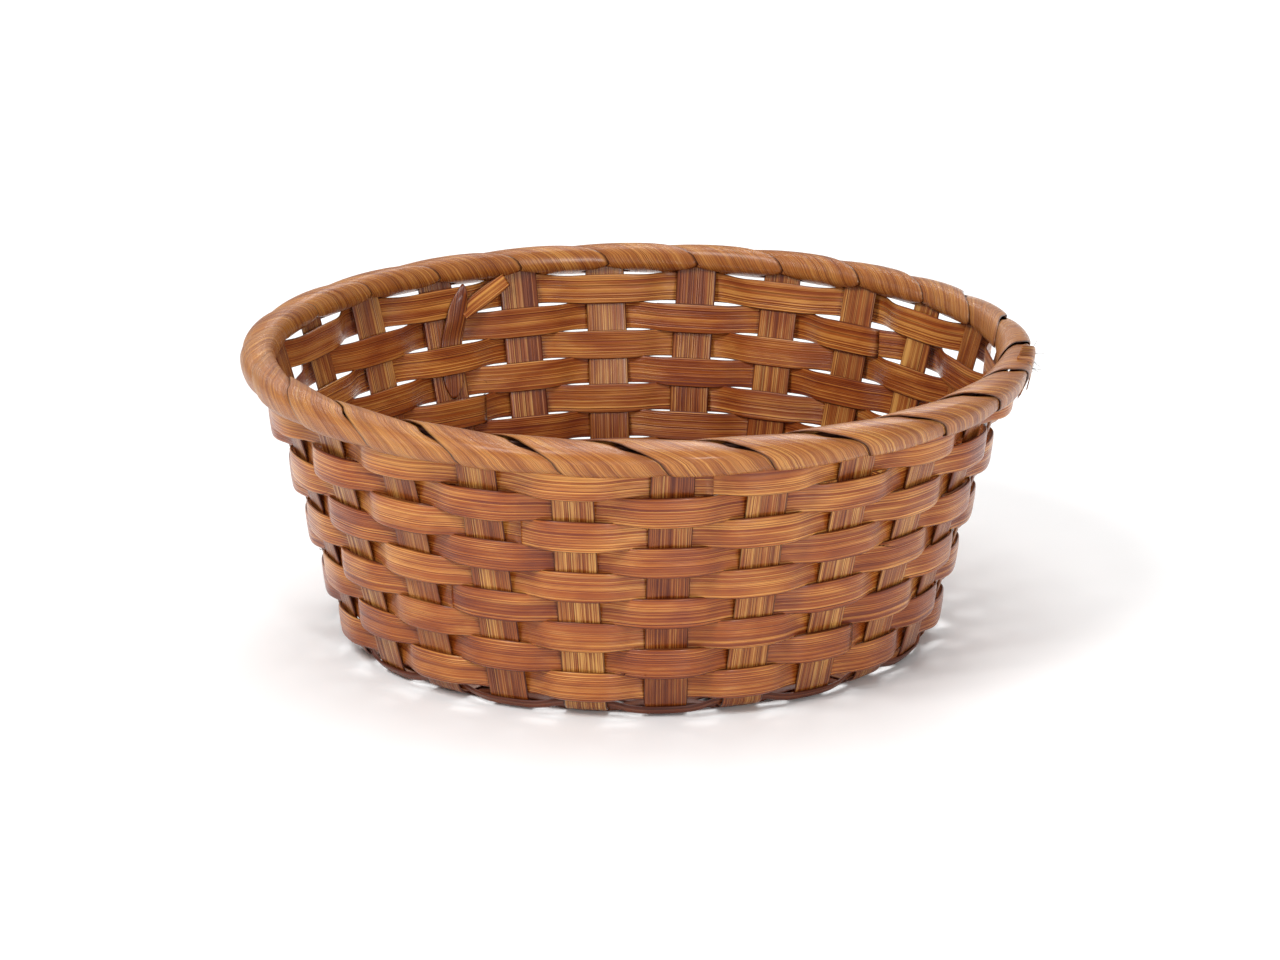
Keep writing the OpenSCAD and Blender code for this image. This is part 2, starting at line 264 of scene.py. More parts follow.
# Name, then the pale, middle and dark colour, roughness, coat, width of a fibre in mm and contrast
side_bamboo, stake_bamboo, base_bamboo, rim_bamboo, core_bamboo = (splint_material(*facts) for facts in (
    ("stained_bamboo_weaver", "#dd9a4c", "#a1521a", "#641d04", 0.36, 0.24, 0.34, 1.2),
    ("stained_bamboo_stake", "#dda458", "#9c501b", "#581c05", 0.38, 0.24, 0.34, 1.3),
    ("stained_bamboo_base", "#9a5825", "#6c3010", "#3d1607", 0.5, 0.05, 0.4, 1.0),
    ("varnished_bamboo_lashing", "#da9d52", "#ac662a", "#70320e", 0.34, 0.26, 0.34, 1.1),
    ("dark_bamboo_core", "#6b3a18", "#421b07", "#200c04", 0.55, 0.05, 0.5, 1.0)))
print(f"{len(bpy.data.materials)} materials in the file")

# %% [markdown]
# ## Laying a splint along a path
#
# Every piece of the basket is a flat strip that follows a path. A curve with a bevel would do for a plain
# ribbon, but a curve turns its profile by itself, and a plaited strip has its face where the plaiting puts
# it. So the path is a row of points that carry their own directions, and a Geometry Nodes tree lays a
# strip along it.
#
# The tree starts from a grid: one direction runs along the path and the other round the strip's section.
# Each grid point looks up its path point by index, and moves out by the path's own directions. Ridges
# along the fibres are real relief, from noise stretched along the strip. Strips that go round the basket
# keep their paths unrolled, as angle, radius and height, and the tree rolls them up at the end.

# %% The splint tree
SECTION_POWER = 10.0
EDGE_WAVE = 18 * MM
CLOSED_T, WELD = 0.05 * MM, 0.004 * MM


def splint_tree():
    tree = bpy.data.node_groups.new("splint_along_path", "GeometryNodeTree")
    face = tree.interface
    face.new_socket("Geometry", in_out="INPUT", socket_type="NodeSocketGeometry")
    for name, kind, value in (
        ("Points along", "NodeSocketInt", 100), ("Points round", "NodeSocketInt", 40),
        ("Ridge depth", "NodeSocketFloat", 0.05 * MM), ("Ridge width", "NodeSocketFloat", 0.8 * MM),
        ("Ridge length", "NodeSocketFloat", 60 * MM), ("Edge wander", "NodeSocketFloat", 0.03),
        ("Seed", "NodeSocketFloat", 0.0), ("Rolled up", "NodeSocketBool", True),
        ("Material", "NodeSocketMaterial", None),
    ):
        socket = face.new_socket(name, in_out="INPUT", socket_type=kind)
        if value is not None:
            socket.default_value = value
    face.new_socket("Geometry", in_out="OUTPUT", socket_type="NodeSocketGeometry")
    given = add(tree, "NodeGroupInput").outputs

    # The grid, and what each of its points is: a step along the path, and a place round the section
    grid = add(tree, "GeometryNodeMeshGrid", {
        "Size X": 1.0, "Size Y": 1.0, "Vertices X": given["Points along"],
        "Vertices Y": given["Points round"]})
    spot = add(tree, "ShaderNodeSeparateXYZ", {0: add(tree, "GeometryNodeInputPosition")}).outputs
    last = add(tree, MATH, {0: given["Points along"], 1: 1.0}, operation="SUBTRACT")
    share = add(tree, MATH, {0: spot["X"], 1: 0.5})
    step = add(tree, MATH, {0: share, 1: last}, operation="MULTIPLY")
    index = add(tree, "FunctionNodeFloatToInt", {0: step}, rounding_mode="ROUND")

    # Round the section: across goes from -1 to 1 on the outer face and back on the inner one
    doubled = add(tree, MATH, {0: spot["Y"], 1: 4.0}, operation="MULTIPLY")
    size = add(tree, MATH, {0: doubled}, operation="ABSOLUTE")
    across = add(tree, MATH, {0: 1.0, 1: size}, operation="SUBTRACT")
    side = add(tree, MATH, {0: spot["Y"]}, operation="SIGN")
    side = add(tree, MATH, {0: side, 1: -1.0}, operation="MULTIPLY")
    from_middle = add(tree, MATH, {0: size, 1: 1.0}, operation="SUBTRACT")
    from_middle = add(tree, MATH, {0: from_middle}, operation="ABSOLUTE")
    rounding = add(tree, MATH, {0: from_middle, 1: SECTION_POWER}, operation="POWER")
    left = add(tree, MATH, {0: 1.0, 1: rounding}, operation="SUBTRACT", use_clamp=True)
    fullness = add(tree, MATH, {0: left}, operation="SQRT")

    # What the path says at this step
    told = [(add(tree, "GeometryNodeInputPosition"), "FLOAT_VECTOR")]
    for name in ("across", "out", "half_w", "half_t", "cup", "roll", "run", "tone", "stain_and_shade"):
        kind = "FLOAT_VECTOR" if name in ("across", "out") else "FLOAT"
        field = add(tree, "GeometryNodeInputNamedAttribute", {"Name": name}, data_type=kind)
        told.append((field.outputs["Attribute"], kind))
    centre, across_way, out_way, half_w, half_t, cup, roll, run, tone, stain_and_shade = (
        add(tree, "GeometryNodeSampleIndex", {"Geometry": given["Geometry"], "Value": value, "Index": index},
            data_type=kind, domain="POINT").outputs["Value"]
        for value, kind in told)

    # Each edge wanders by itself, as a hand-split strip does
    edge_run = add(tree, MATH, {0: run, 1: 1 / EDGE_WAVE}, operation="MULTIPLY")
    edge_side = add(tree, MATH, {0: across}, operation="SIGN")
    edge_spot = add(tree, "ShaderNodeCombineXYZ", {"X": edge_run, "Y": edge_side, "Z": given["Seed"]})
    edge_noise = add(tree, "ShaderNodeTexNoise", {
        "Vector": edge_spot, "Scale": 1.0, "Detail": 2.0}).outputs["Fac"]
    edge_noise = add(tree, MATH, {0: edge_noise, 1: 0.5}, operation="SUBTRACT")
    edge = add(tree, MATH, {0: edge_noise, 1: given["Edge wander"], 2: 1.0}, operation="MULTIPLY_ADD")
    lateral = add(tree, MATH, {0: across, 1: half_w}, operation="MULTIPLY")
    lateral = add(tree, MATH, {0: lateral, 1: edge}, operation="MULTIPLY")

    # Relief along the fibres
    ridge_x = add(tree, MATH, {0: run, 1: given["Ridge length"]}, operation="DIVIDE")
    ridge_y = add(tree, MATH, {0: lateral, 1: given["Ridge width"]}, operation="DIVIDE")
    ridge_z = add(tree, MATH, {0: side, 1: 3.0, 2: given["Seed"]}, operation="MULTIPLY_ADD")
    ridge_spot = add(tree, "ShaderNodeCombineXYZ", {"X": ridge_x, "Y": ridge_y, "Z": ridge_z})
    ridges = add(tree, "ShaderNodeTexNoise", {
        "Vector": ridge_spot, "Scale": 1.0, "Detail": 2.0, "Roughness": 0.5}).outputs["Fac"]
    for operation, by in (("SUBTRACT", 0.5), ("MULTIPLY", given["Ridge depth"]), ("MULTIPLY", 2.0)):
        ridges = add(tree, MATH, {0: ridges, 1: by}, operation=operation)

    thick = add(tree, MATH, {0: half_t, 1: ridges})
    thin_end = add(tree, MATH, {0: half_t, 1: CLOSED_T}, operation="GREATER_THAN")
    thick = add(tree, MATH, {0: thick, 1: thin_end}, operation="MULTIPLY")
    proud = add(tree, MATH, {0: thick, 1: fullness}, operation="MULTIPLY")
    proud = add(tree, MATH, {0: proud, 1: side}, operation="MULTIPLY")
    squared = add(tree, MATH, {0: across, 1: across}, operation="MULTIPLY")
    crown = add(tree, MATH, {0: 1.0, 1: squared}, operation="SUBTRACT")
    proud = add(tree, MATH, {0: crown, 1: cup, 2: proud}, operation="MULTIPLY_ADD")
    proud = add(tree, MATH, {0: across, 1: roll, 2: proud}, operation="MULTIPLY_ADD")

    sideways = add(tree, "ShaderNodeVectorMath", {0: across_way, "Scale": lateral}, operation="SCALE")
    outward = add(tree, "ShaderNodeVectorMath", {0: out_way, "Scale": proud}, operation="SCALE")
    moved = add(tree, "ShaderNodeVectorMath", {0: sideways, 1: outward})
    straight = add(tree, "ShaderNodeVectorMath", {0: centre, 1: moved})

    # Rolled up: the path holds angle, radius and height, and a move along the ring turns the angle
    home = add(tree, "ShaderNodeSeparateXYZ", {0: centre}).outputs
    shift = add(tree, "ShaderNodeSeparateXYZ", {0: moved}).outputs
    turned = add(tree, MATH, {0: shift["X"], 1: home["Y"]}, operation="DIVIDE")
    angle = add(tree, MATH, {0: home["X"], 1: turned})
    radius = add(tree, MATH, {0: home["Y"], 1: shift["Y"]})
    height = add(tree, MATH, {0: home["Z"], 1: shift["Z"]})
    cosine = add(tree, MATH, {0: angle}, operation="COSINE")
    sine = add(tree, MATH, {0: angle}, operation="SINE")
    rolled = add(tree, "ShaderNodeCombineXYZ", {
        "X": add(tree, MATH, {0: radius, 1: cosine}, operation="MULTIPLY"),
        "Y": add(tree, MATH, {0: radius, 1: sine}, operation="MULTIPLY"),
        "Z": height})
    place = add(tree, "GeometryNodeSwitch", {
        "Switch": given["Rolled up"], "False": straight, "True": rolled}, input_type="VECTOR")

    # The pattern's own map, in metres, is stored before the grid leaves its plane
    stored = grid.outputs["Mesh"]
    map_place = add(tree, "ShaderNodeCombineXYZ", {"X": run, "Y": lateral})
    for name, value, kind, domain in (
        ("UVMap", map_place, "FLOAT2", "CORNER"), ("tone", tone, "FLOAT", "POINT"),
        ("stain_and_shade", stain_and_shade, "FLOAT", "POINT"), ("edge", squared, "FLOAT", "POINT"),
    ):
        stored = add(tree, "GeometryNodeStoreNamedAttribute", {
            "Geometry": stored, "Name": name, "Value": value}, data_type=kind, domain=domain)
    laid = add(tree, "GeometryNodeSetPosition", {"Geometry": stored, "Position": place})
    closed = add(tree, "GeometryNodeMergeByDistance", {"Geometry": laid, "Distance": WELD})
    smooth = add(tree, "GeometryNodeSetShadeSmooth", {"Geometry": closed})
    real = add(tree, "GeometryNodeRealizeInstances", {"Geometry": smooth})
    finished = add(tree, "GeometryNodeSetMaterial", {"Geometry": real, "Material": given["Material"]})
    add(tree, "NodeGroupOutput", {"Geometry": finished})
    return tree


SPLINT_TREE = splint_tree()
print(f"the splint tree has {len(SPLINT_TREE.nodes)} nodes")

# %% [markdown]
# ## Small faults
#
# Nothing in a hand-made basket is exact: rows wander up and down, strips vary in width, and no two bends
# are the same. A few sine waves with seeded phases make such a fault. They repeat the same way each run,
# and have no corners, which a splint can't have either.

# %% A smooth wander, the same each run
def wander(at, seed, size, cycles=(1, 2, 3, 5)):
    """A smooth wave of about the given size, over values of `at` where one turn is 2 pi."""
    chance = np.random.default_rng(seed)
    total = np.zeros_like(at, dtype=float)
    for cycle in cycles:
        total += chance.normal() / math.sqrt(cycle) * np.sin(cycle * at + chance.uniform(0, 2 * math.pi))
    return size * total / math.sqrt(len(cycles))


# %% Make one strip from its path
finished = {}


def lay_strip(name, points, across, out, half_w, half_t, material, rolled_up=True, round_points=57,
              ridge_depth=0.05, ridge_width=0.8, ridge_length=60, edge=0.05, seed=0.0, tone=0.5,
              cup=0.0, roll=0.0, stain_and_shade=0.0):
    """Lays a strip along a path. Sizes of ridges are in mm, and the rest is in metres."""
    count = len(points)
    path = bpy.data.meshes.new(name)
    path.from_pydata([tuple(p) for p in points], [], [])

    def carry(key, value, kind="FLOAT"):
        field = path.attributes.new(key, kind, "POINT")
        width = 3 if kind == "FLOAT_VECTOR" else 1
        values = np.broadcast_to(np.asarray(value, float), (count, 3) if width == 3 else (count,))
        field.data.foreach_set("vector" if width == 3 else "value", np.ascontiguousarray(values).ravel())

    true_points = roll_up(points) if rolled_up else np.asarray(points)
    lengths = np.linalg.norm(np.diff(true_points, axis=0), axis=1)
    run = np.concatenate([[0.0], np.cumsum(lengths)])
    carry("across", across, "FLOAT_VECTOR")
    carry("out", out, "FLOAT_VECTOR")
    for key, value in (("half_w", half_w), ("half_t", half_t), ("cup", cup), ("roll", roll),
                       ("run", run + seed * 0.37), ("tone", tone), ("stain_and_shade", stain_and_shade)):
        carry(key, value)

    piece = bpy.data.objects.new(name, path)
    bpy.context.collection.objects.link(piece)
    return make_plain(piece, SPLINT_TREE, {
        "Points along": count, "Points round": round_points, "Ridge depth": ridge_depth * MM,
        "Ridge width": ridge_width * MM, "Ridge length": ridge_length * MM, "Edge wander": edge,
        "Seed": float(seed), "Rolled up": rolled_up, "Material": material})


def columns(*values):
    return np.stack(values, axis=1)


def unit(vectors):
    return vectors / np.linalg.norm(vectors, axis=1, keepdims=True)


def roll_up(points):
    """Angle, radius and height as a place in space."""
    angle, radius, height = np.asarray(points).T
    return columns(radius * np.cos(angle), radius * np.sin(angle), height)


def make_plain(piece, tree, asked):
    """Runs a tree on a piece with the inputs asked for, and leaves the piece a plain mesh."""
    layer = piece.modifiers.new(tree.name, "NODES")
    layer.node_group = tree
    for item in tree.interface.items_tree:
        if item.in_out == "INPUT" and item.name in asked:
            layer[item.identifier] = asked[item.name]
    bpy.context.view_layer.update()
    made = piece.evaluated_get(bpy.context.evaluated_depsgraph_get())
    mesh = bpy.data.meshes.new_from_object(made)
    mesh.name = piece.name
    old = piece.data
    piece.modifiers.clear()
    piece.data = mesh
    bpy.data.meshes.remove(old)
    return piece


def hand_over(piece, slot, *nodes):
    """Every finished piece rides on the basket's one body and stands for its nodes."""
    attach(piece, "root")
    if nodes:
        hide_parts(*nodes)
    finished[piece.name] = len(piece.data.polygons)
    print(f"{piece.name}: {len(piece.data.polygons)} faces")


# %% [markdown]
# ## Rows of the wall
#
# Each row is one hoop of flat strip whose ends lap over three stakes. A flat strip can't curve edgewise,
# so it stands nearly upright however much the wall leans, and that gives the basket its stepped outline.
# Seen from above it swings from outside one stake to inside the next. It lies flat on a stake and crosses
# in the gap, so its swing is a sine wave with flattened tops.
#
# Painted shade darkens a strip where it dives behind a stake, and stain darkens its cut ends.

# %% How a row swings past the stakes
SAMPLES = 16
FLATNESS = 1.7


def pass_side(row, stake):
    """1 where a row passes outside a stake, and -1 where it passes inside."""
    return 1 if (row + stake) % 2 == 0 else -1


def swing(row, angle):
    """1 over the middle of a stake that the row passes outside, and -1 inside one."""
    place = angle / STEP - 0.5
    wave = np.cos(math.pi * place) * pass_side(row, 0)
    return np.tanh(FLATNESS * wave) / math.tanh(FLATNESS)


def lap_ends(angle, first, last, lap):
    """How fully each place is in the lower and in the upper layer of the lap."""
    lower = np.clip((first + lap - angle) / STEP + 0.2, 0, 1)
    upper = np.clip((angle - last + lap) / STEP + 0.2, 0, 1)
    return lower, upper


def blunt_ends(half_t):
    """Brings the thickness to nothing at the two last points, which closes the ends."""
    half_t = np.array(half_t, float)
    half_t[0] = half_t[-1] = 0.0
    return half_t


def ring_angles(start, laps, lead=0.42):
    """Angles of a ring's path, from before its first stake to past its last."""
    first = (start + 0.5 - lead) * STEP
    last = (start + STAKES + laps - 0.5 + lead) * STEP
    inner = np.arange(first, last, STEP / SAMPLES)
    nick = 0.00025
    return np.concatenate([[first], inner[1:-1], [last - nick, last]]), first, last


# %% Lay the nine rows
LAPS = 3
LAP_STARTS = [16, 3, 14, 21, 8, 13, 0, 18, 10]
SLANT = LEAN - WEAVER_LEAN
ROW_RISE = (row_z[0] - row_z[-1]) / (ROWS - 1)
ROW_LAP = WEAVER_W * math.cos(WEAVER_LEAN) - ROW_RISE
weaver_lift = (STAKE_T / 2 + FIT) / math.cos(SLANT) + WEAVER_W / 2 * math.tan(SLANT) + WEAVER_T / 2
# Rows near the rim stand off their stakes, because the rod holds them out
LOOSE = [1.1, 0.7, 0.3, 0.1, 0.1, 0.1, 0.1, 0.1, 0.2]
ROW_TONES = [0.68, 0.50, 0.60, 0.42, 0.62, 0.50, 0.56, 0.36, 0.50]


def squeezed(row, angle):
    """How far each edge gives way between stakes, where rows cross and crowd each other."""
    wave = np.cos(math.pi * (angle / STEP - 0.5))
    return (ROW_LAP / 2 - 0.02 * MM) * (1 - wave ** 2) ** 2


CUP = 0.15 * MM
ROW_PRESS, TUCK_PRESS = 0.12 * MM, 0.35
FIRST_ROW_LIFT = 0.5 * MM
OVERSIZE = 1.045


def lay_row(number):
    row = number + 1
    angle, first, last = ring_angles(LAP_STARTS[number], LAPS)
    lower, upper = lap_ends(angle, first, last, LAPS * STEP)
    side = swing(row, angle)
    from_tuck = (angle / STEP - 0.5 - TUCK_STAKE + STAKES / 2) % STAKES - STAKES / 2
    tucked = np.exp(-(from_tuck / TUCK_PRESS) ** 2)
    lift = side * weaver_lift + ROW_PRESS * np.abs(side) ** 3 * side
    lift += LOOSE[number] * MM * np.clip(side, 0, 1) ** 2 * (1 + 1.2 * np.cos(angle) ** 2)
    lift -= lower * PLY * (1 - side) / 2
    lift += upper * PLY * (1 + side) / 2
    if row == TUCK_ROW:
        lift -= tucked * (TUCK_T + FIT)

    drift = wander(angle, 40, 0.25 * MM) + wander(angle, 70 + row, 0.10 * MM, (3, 5, 8))
    z = row_z[number] + drift + (FIRST_ROW_LIFT if row == 1 else 0)
    lean = WEAVER_LEAN + wander(angle, 90 + row, math.radians(1.6), (2, 5, 9)) + math.radians(2.0) * side
    radius = wall_radius(row_z[number]) + lift * np.cos(lean)
    radius += wander(angle, 120 + row, 0.12 * MM, (4, 7, 12))
    slope = np.gradient(radius, angle) / radius
    across = columns(np.zeros_like(angle), np.sin(lean), np.cos(lean))
    out = columns(-slope * np.cos(lean), np.cos(lean), -np.sin(lean))
    out = unit(out)
    half_w = WEAVER_W / 2 * (OVERSIZE + wander(angle, 150 + row, 0.02, (1, 3, 6, 11)))
    half_w -= squeezed(row, angle)
    half_t = blunt_ends(np.full(len(angle), WEAVER_T / 2))
    # Painted shade: darkest where the row crosses between stakes and dives behind the next one
    dive_shade = np.exp(-(side / 0.55) ** 2)
    ends = np.exp(-(angle - first) / 0.02) + np.exp(-(last - angle) / 0.02)
    stain_and_shade = np.clip(0.12 * dive_shade + 0.35 * ends + wander(angle, 180 + row, 0.05, (5, 9, 14)), 0, 0.8)
    tone = ROW_TONES[number] + wander(angle, 210 + row, 0.15, (2, 4, 7, 13))
    piece = lay_strip(
        f"woven_row_{row}", columns(angle, radius, z), across, out, half_w, half_t,
        side_bamboo, seed=row, tone=tone, stain_and_shade=stain_and_shade, cup=CUP, ridge_depth=0.06,
        ridge_length=220, edge=0.04)
    hand_over(piece, "side_weaver_bamboo", f"side_weaver_{row}")


for number in range(ROWS):
    lay_row(number)

# %% [markdown]
# ## Stakes
#
# One long splint makes two stakes. It lies flat through the plaited middle, bends sideways to point away
# from the centre, and folds up into the wall. The corners of that route are known, so the path is a smooth
# curve through them. It could be drawn by hand, but a curve through the same corners as the frame's keeps
# every crossing where the frame has it.

# %% A smooth curve through the corners of a route
def smooth_through(corners, spacing):
    """Points along a Catmull-Rom curve through rows of numbers; the first three of each are its place."""
    corners = np.asarray(corners, float)
    padded = np.vstack([2 * corners[0] - corners[1], corners, 2 * corners[-1] - corners[-2]])
    made = []
    for i in range(1, len(padded) - 2):
        before, start, end, after = padded[i - 1:i + 3]
        gaps = [max(np.linalg.norm(b[:3] - a[:3]), 1e-6) ** 0.5
                for a, b in ((before, start), (start, end), (end, after))]
        count = max(1, int(math.ceil(gaps[1] ** 2 / spacing)))
        leave = (start - before) / gaps[0] - (end - before) / (gaps[0] + gaps[1]) + (end - start) / gaps[1]
        arrive = (end - start) / gaps[1] - (after - start) / (gaps[1] + gaps[2]) + (after - end) / gaps[2]
        leave, arrive = leave * gaps[1], arrive * gaps[1]
        for t in np.arange(count) / count:
            made.append((2 * t**3 - 3 * t**2 + 1) * start + (t**3 - 2 * t**2 + t) * leave
                        + (3 * t**2 - 2 * t**3) * end + (t**3 - t**2) * arrive)
    made.append(corners[-1])
    return np.array(made)


# %% The route of one splint
grid_pitch = STAKE_W + GRID_GAP
grid_lift = (STAKE_T + FIT) / 2
EDGE_ROOM = 0.3 * MM
FAN_R = 18 * MM
TURN_ANGLE = math.pi / 2 - LEAN
turn_run = TURN_R * math.tan(TURN_ANGLE / 2)
STAKE_TOP_Z = max(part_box(name)[1].z for name in node_names if "_splint_" in name) - 0.2 * MM


def arm_route(lane, parity):
    """From the first crossing out to the top of a stake: place, heading and climb at each corner."""
    half = SPLINTS // 2
    heading = lane * STEP
    route = []
    for crossing in np.arange(0.5, half):
        level = MID_Z + parity * (-1) ** round(crossing - 0.5) * grid_lift
        for edge in (-0.8, 0.8):
            route.append([crossing * grid_pitch + edge * STAKE_W / 2, lane * grid_pitch, level, 0, 0])
    corner = lane * grid_pitch / math.tan(heading)
    room = corner - (half - 0.5) * grid_pitch - STAKE_W / 2 - 2 * EDGE_ROOM
    run = min(FAN_R * math.tan(abs(heading) / 2), room)
    bend = run / math.tan(abs(heading) / 2)
    for share in (0, 0.25, 0.5, 0.75, 1):
        turn = heading * share
        route.append([corner - run + bend * math.sin(abs(turn)),
                      lane * grid_pitch + math.copysign(bend * (1 - math.cos(turn)), lane),
                      MID_Z, turn, 0])
    for share in (0, 0.2, 0.4, 0.6, 0.8, 1):
        climb = TURN_ANGLE * share
        distance = BASE_R - turn_run + TURN_R * math.sin(climb)
        route.append([distance * math.cos(heading), distance * math.sin(heading),
                      MID_Z + TURN_R * (1 - math.cos(climb)), heading, climb])
    for share in (0.12, 0.35, 0.6, 0.85, 1):
        z = MID_Z + TURN_R + (STAKE_TOP_Z - MID_Z - TURN_R) * share
        distance = wall_radius(z)
        route.append([distance * math.cos(heading), distance * math.sin(heading), z, heading, TURN_ANGLE])
    return route


FOLD_TOP = 6 * MM


def lay_splint(number, crosswise):
    lane = number - SPLINTS / 2 - 0.5
    parity = 1 if round(lane + 0.5) % 2 == 0 else -1
    right = arm_route(lane, parity)
    left = [[-x, y, z, -heading, -climb] for x, y, z, heading, climb in arm_route(lane, -parity)]
    path = smooth_through(left[::-1] + right, 1.5 * MM)
    path = np.vstack([path[:1], path[:1] + (path[1] - path[0]) * 0.15, path[1:-1],
                      path[-1:] - (path[-1] - path[-2]) * 0.15, path[-1:]])
    heading, climb = path[:, 3], path[:, 4]
    across = columns(-np.sin(heading), np.cos(heading), 0 * heading)
    out = columns(-np.sin(climb) * np.cos(heading), -np.sin(climb) * np.sin(heading), np.cos(climb))
    points = path[:, :3].copy()
    seed = number + 20 * crosswise
    along = np.linspace(0, 2 * math.pi, len(points))
    points += across * wander(along, 300 + seed, 0.35 * MM, (2, 4, 7))[:, None]
    if crosswise:
        points, across, out = (columns(-v[:, 1], v[:, 0], v[:, 2]) for v in (points, across, out))
    half_w = STAKE_W / 2 * (0.985 + wander(along, 330 + seed, 0.02, (3, 7, 12)))
    half_t = blunt_ends(np.full(len(points), STAKE_T / 2))
    z = points[:, 2]
    distance = np.hypot(points[:, 0], points[:, 1])
    # Darker towards the foot of the wall, where the stakes turn up out of the base, and a little darker in
    # the base
    low_wall = np.exp(-((z - MID_Z) / (9 * MM)) ** 2) * (distance > 60 * MM)
    under = np.where(z > FOLD_TOP, 0.10, 0.12)
    stain_and_shade = np.clip(under + 0.22 * low_wall + wander(along, 360 + seed, 0.05, (6, 11, 17)), 0, 0.7)
    tone = 0.52 + wander(along, 390 + seed, 0.10, (1, 3, 6, 10)) + 0.12 * math.sin(seed * 2.4)
    name = f"{'cross' if crosswise else 'long'}_splint_{number}"
    piece = lay_strip(
        f"stake_{name}", points, across, out, half_w, half_t, stake_bamboo, rolled_up=False,
        round_points=73, seed=40 + seed, tone=tone, stain_and_shade=stain_and_shade, ridge_depth=0.055, ridge_width=0.7,
        ridge_length=220, edge=0.03)
    hand_over(piece, "stake_bamboo", name)


for number in range(1, SPLINTS + 1):
    lay_splint(number, crosswise=False)
    lay_splint(number, crosswise=True)

# %% [markdown]
# ## Narrow rounds in the base
#
# A few rounds of narrow strip lock the fanned stakes, and one lies in the fold, where the wall starts. They
# are woven as the rows are, but lying flat, so they swing up and down instead of in and out.

# %% Lay the narrow rounds
narrow_lift = (STAKE_T + WEAVER_T) / 2 + FIT
NARROW_GAP = 0.6 * MM
FOLD_AT = math.radians(48)


def lay_flat_round(name, row, start, radius, z, tilt, lift_out, lift_in, width, seed):
    angle, first, last = ring_angles(start, 1)
    lower = lap_ends(angle, first, last, STEP)[0]
    side = swing(row, angle)
    lift = np.where(side > 0, side * lift_out, side * lift_in) - lower * PLY * (1 - side) / 2
    radial, rise = math.cos(tilt), -math.sin(tilt)
    radius = radius + lift * radial + wander(angle, 500 + seed, 0.15 * MM, (2, 5, 9))
    height = z + lift * rise
    slope_r = np.gradient(radius, angle) / radius
    slope_z = np.gradient(height, angle) / radius
    across = np.tile([0.0, math.sin(tilt), math.cos(tilt)], (len(angle), 1))
    out = columns(-(slope_r * radial + slope_z * rise), np.full_like(angle, radial),
                    np.full_like(angle, rise))
    out = unit(out)
    half_w = width / 2 * (1 + wander(angle, 530 + seed, 0.05, (2, 5, 11)))
    half_t = blunt_ends(np.full(len(angle), WEAVER_T / 2 * 0.97))
    tone = 0.45 + wander(angle, 560 + seed, 0.12, (2, 5, 9))
    piece = lay_strip(
        name, columns(angle, radius, height), across, out, half_w, half_t, base_bamboo,
        round_points=33, seed=60 + seed, tone=tone, stain_and_shade=0.12, ridge_width=0.7, ridge_length=50,
        edge=0.08)
    hand_over(piece, "base_weaver_bamboo", "fold_weaver" if seed == 0 else f"base_weaver_{seed}")


fold_low, fold_high = TURN_R * (1 - math.cos(FOLD_AT)), TURN_R * math.sin(FOLD_AT)
fold_reach = math.sqrt((TURN_R - STAKE_T / 2 - FIT) ** 2 - (FOLD_W / 2) ** 2) - WEAVER_T / 2
lay_flat_round("fold_round", ROWS + 1, (ROWS + 2) % 2, BASE_R - turn_run + fold_high, MID_Z + fold_low,
               math.pi / 2 - FOLD_AT, narrow_lift, TURN_R - fold_reach, FOLD_W, 0)
for number in range(1, BASE_ROUNDS + 1):
    row = ROWS + 1 + number
    round_radius = BASE_R - turn_run - NARROW_GAP - NARROW_W / 2 - (number - 1) * (NARROW_W + NARROW_GAP)
    lay_flat_round(f"base_round_{number}", row, (row + 1) % 2 + 6 * number, round_radius, MID_Z,
                   math.pi / 2, narrow_lift, narrow_lift, NARROW_W, number)

# %% [markdown]
# ## The rim
#
# The stake ends stand between a flat hoop inside and a round rod outside. Both are mostly hidden, but they
# show as dark slits between the wraps of the lashing, so they are laid as real strips too.

# %% The inner hoop and the rod
ring = np.linspace(0, 2 * math.pi * 359 / 360, 420)
ring = np.concatenate([[ring[0]], ring[:-1] + 0.0004, [ring[-1]]])


def wall_frame(count):
    """Up the wall, and square out of it, in unrolled directions."""
    up = np.tile([0.0, math.sin(LEAN), math.cos(LEAN)], (count, 1))
    out = np.tile([0.0, math.cos(LEAN), -math.sin(LEAN)], (count, 1))
    return up, out


up_wall, out_wall = wall_frame(len(ring))
hoop = lay_strip(
    "inner_hoop", columns(ring, np.full_like(ring, HOOP_R), np.full_like(ring, HOOP_Z)),
    up_wall, out_wall, HOOP_H / 2, blunt_ends(np.full(len(ring), HOOP_T / 2)), core_bamboo,
    round_points=33, seed=80, tone=0.45, stain_and_shade=0.2, ridge_depth=0.06)
hand_over(hoop, "rim_core_bamboo", "rim_inner_hoop")
rod = lay_strip(
    "outer_rod", columns(ring, np.full_like(ring, ROD_R), np.full_like(ring, ROD_Z)),
    up_wall, out_wall, ROD_D / 2, blunt_ends(np.full(len(ring), ROD_D * 0.36)), core_bamboo,
    round_points=49, seed=81, tone=0.4, stain_and_shade=0.25, ridge_depth=0.12, ridge_width=1.2)
hand_over(rod, "rim_core_bamboo", "rim_rod")

# %% [markdown]
# ## The lashing
#
# One strip goes round hoop, stakes and rod once in each gap between stakes. It passes down through the gap
# almost square to the rim, and slants along the rim over the top to reach the next gap. Each wrap is pulled
# down over the edge of the last, so there is a dark line at each overlap, deepened by painted shade along the
# strip's edges, and, where the strip stands off, a thin open slit.
#
# Its section is taken along the rim, not square to the strip. That way every point of it lies on the same
# rounded loop round the rim, however much it slants.

